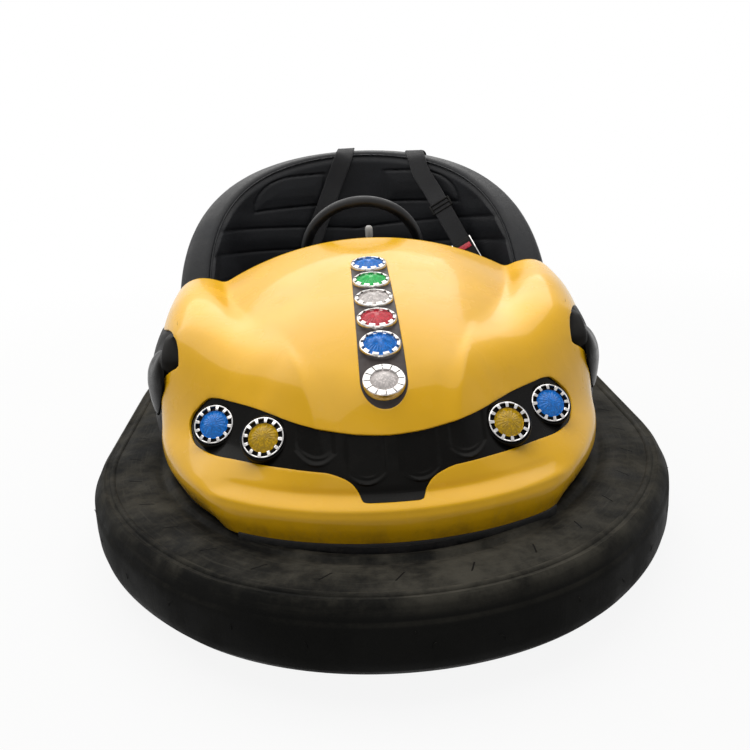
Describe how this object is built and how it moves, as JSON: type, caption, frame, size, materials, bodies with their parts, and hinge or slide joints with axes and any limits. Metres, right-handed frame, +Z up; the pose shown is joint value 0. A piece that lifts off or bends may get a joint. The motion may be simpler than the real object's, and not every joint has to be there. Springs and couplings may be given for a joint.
{
  "type": "bumper car",
  "caption": "Battery bumper car: yellow two-piece shell and wrap-round bench seat inside a rubber ring, lamps on hood and nose, steered drive wheel under the nose and fixed rear wheels.",
  "frame": {"origin": "on the floor under the middle of the bumper ring", "axes": "nose towards -Y, +Z up, +X across the car"},
  "size_m": [1.2, 1.95, 0.7444],
  "materials": {
    "body_yellow": "gloss gelcoat",
    "gloss_black": "gloss",
    "satin_black": "satin",
    "ring_rubber": "dusty matt",
    "wheel_rubber": "matt",
    "grip_rubber": "satin",
    "black_steel": "painted",
    "bare_steel": "brushed",
    "cast_grey": "cast",
    "chrome": "polished",
    "black_leather": "grained",
    "webbing": "woven",
    "battery_case": "moulded",
    "lens_blue": "clear moulded",
    "lens_green": "clear moulded",
    "lens_clear": "clear moulded",
    "lens_red": "clear moulded",
    "lens_yellow": "clear moulded"
  },
  "bodies": {
    "root": {"chassis_pan": "black_steel", "bumper_rim": "black_steel", "bumper_tyre": "ring_rubber", "front_shell": "body_yellow", "rear_shell": "body_yellow", "side_panel_left": "gloss_black", "side_panel_right": "gloss_black", "headlamp_mask": "satin_black", "lamp_strip": "satin_black", "hood_lamp_bezels": "chrome", "hood_lenses_blue": "lens_blue", "hood_lens_green": "lens_green", "hood_lenses_clear": "lens_clear", "hood_lens_red": "lens_red", "headlamp_bezels": "chrome", "headlamp_lenses_blue": "lens_blue", "headlamp_lenses_yellow": "lens_yellow", "tail_lamp_bezels": "chrome", "tail_lenses_red": "lens_red", "tail_lenses_clear": "lens_clear", "dash_panel": "satin_black", "bulkhead": "satin_black", "foot_pedal": "bare_steel", "seat_base": "satin_black", "seat_cushion": "black_leather", "seat_back": "black_leather", "belt_left": "webbing", "belt_right": "webbing", "belt_buckles": "satin_black", "battery_block": "battery_case", "steering_gearbox": "cast_grey", "steering_column": "black_steel", "column_lever": "chrome", "drive_bridge": "black_steel", "rear_axle": "bare_steel"},
    "steering": {"steering_rim": "grip_rubber", "steering_hub": "black_steel"},
    "drive_unit": {"drive_fork": "black_steel", "drive_motor": "cast_grey"},
    "drive_wheel": {"drive_hub": "cast_grey", "drive_tyre": "wheel_rubber"},
    "rear_wheel_left": {"rear_hub_left": "cast_grey", "rear_tyre_left": "wheel_rubber"},
    "rear_wheel_right": {"rear_hub_right": "cast_grey", "rear_tyre_right": "wheel_rubber"}
  },
  "joints": [
    {"name": "steering_turn", "type": "hinge", "parent": "root", "child": "steering", "pos_m": [0, 0.14, 0.524], "axis": [0, 0.9272, 0.3746], "continuous": true},
    {"name": "drive_swivel", "type": "hinge", "parent": "root", "child": "drive_unit", "pos_m": [0, -0.4, 0.1], "axis": [0, 0, 1], "continuous": true},
    {"name": "drive_spin", "type": "hinge", "parent": "drive_unit", "child": "drive_wheel", "pos_m": [0, -0.4, 0.1], "axis": [1, 0, 0], "continuous": true},
    {"name": "rear_left_spin", "type": "hinge", "parent": "root", "child": "rear_wheel_left", "pos_m": [-0.24, 0.5, 0.1], "axis": [1, 0, 0], "continuous": true},
    {"name": "rear_right_spin", "type": "hinge", "parent": "root", "child": "rear_wheel_right", "pos_m": [0.24, 0.5, 0.1], "axis": [1, 0, 0], "continuous": true}
  ],
  "couplings": [
    {"joint": "steering_turn", "follows": "drive_swivel", "ratio": 1}
  ]
}
